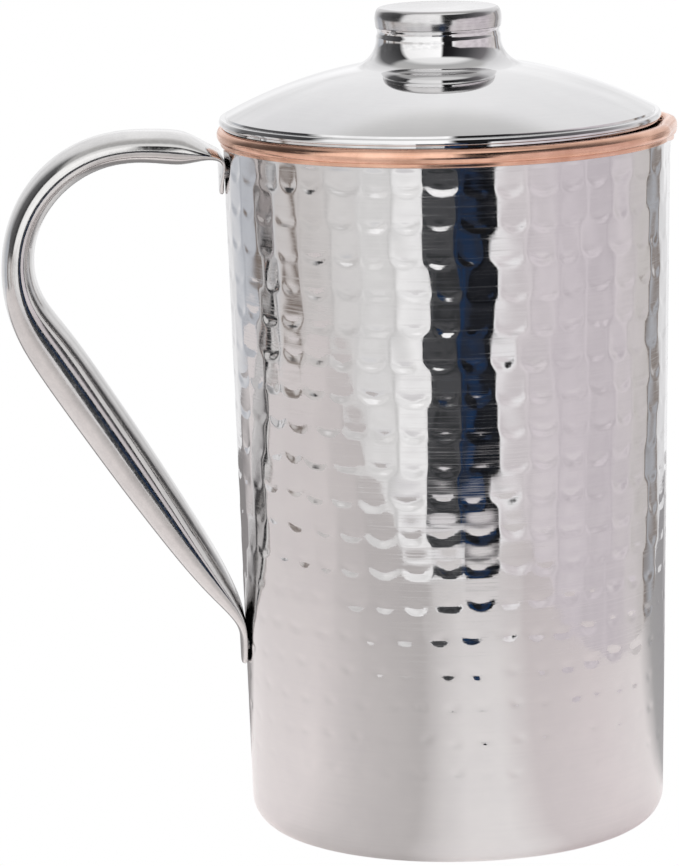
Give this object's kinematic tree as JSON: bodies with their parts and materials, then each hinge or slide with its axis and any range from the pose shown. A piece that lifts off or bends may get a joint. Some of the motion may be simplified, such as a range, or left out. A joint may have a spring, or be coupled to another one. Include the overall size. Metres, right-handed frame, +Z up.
{
  "type": "lidded water jug",
  "caption": "Tapered hammered steel water jug lined with copper, with a rolled copper rim, a pouring beak, a bent pipe handle and a loose domed lid with a knob.",
  "frame": {"origin": "centre of the foot ring under the base, on the plane the jug stands on", "axes": "+Z up along the axis of the jug, +X towards the pouring beak, -X towards the handle"},
  "size_m": [0.1678, 0.1128, 0.2038],
  "materials": {
    "hammered_steel": "hand-hammered, polished between rows of flat peened facets",
    "rim_copper": "brushed bright copper",
    "handle_steel": "polished bent pipe",
    "lid_steel": "fine satin",
    "knob_steel": "mirror polish",
    "weld_steel": "spot-weld nugget, ground flush"
  },
  "bodies": {
    "jug": {"outer_shell": "hammered_steel", "copper_liner": "rim_copper", "handle": "handle_steel", "handle_upper_welds": "weld_steel", "handle_lower_welds": "weld_steel"},
    "lid": {"lid_dome": "lid_steel", "lid_collar": "lid_steel", "lid_collar_welds": "weld_steel", "knob_cap": "knob_steel"}
  },
  "joints": [
    {"name": "lid_lift", "type": "slide", "parent": "jug", "child": "lid", "axis": [0, 0, 1], "range_m": [0, 0.08]}
  ]
}
